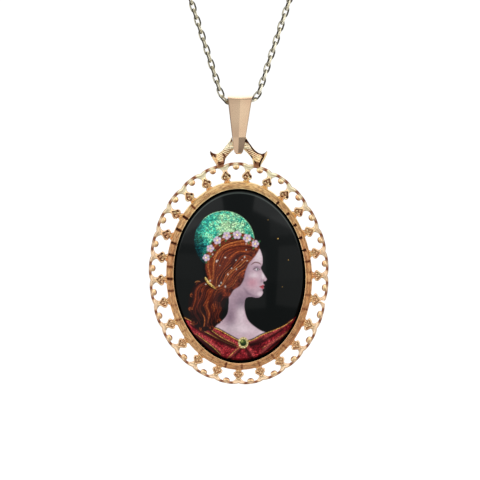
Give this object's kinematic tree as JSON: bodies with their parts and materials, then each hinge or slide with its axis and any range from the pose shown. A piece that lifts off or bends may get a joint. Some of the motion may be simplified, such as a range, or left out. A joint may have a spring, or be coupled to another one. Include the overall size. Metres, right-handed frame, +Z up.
{
  "type": "enamel pendant necklace",
  "caption": "Oval domed enamel plaque in a satin bezel and pierced gold border, swinging from a tapered bail on a fine cable chain.",
  "frame": {"origin": "middle of the clasp at the nape, where the necklace hangs on the back of the neck", "axes": "+Z up, the enamel faces -Y, X runs across the wearer and is the symmetry axis"},
  "size_m": [0.0986, 0.1159, 0.2299],
  "materials": {
    "chain_gold": "darkened antique gold",
    "clasp_gold": "polished gold",
    "polished_gold": "polished rose gold",
    "satin_gold": "cast and satin finished gold",
    "enamel": "glossy fired enamel with foil and painted layers"
  },
  "bodies": {
    "necklace": {"chain": "chain_gold", "clasp": "clasp_gold"},
    "bail": {"bail": "polished_gold"},
    "pendant": {"frame": "satin_gold", "enamel_plaque": "enamel"}
  },
  "joints": [
    {"name": "bail_swing", "type": "hinge", "parent": "necklace", "child": "bail", "pos_m": [0, -0.112, -0.165], "axis": [1, 0, 0], "range_deg": [-90, 90]},
    {"name": "pendant_swing", "type": "hinge", "parent": "bail", "child": "pendant", "pos_m": [0, -0.112, -0.17505], "axis": [1, 0, 0], "range_deg": [-90, 90]}
  ]
}
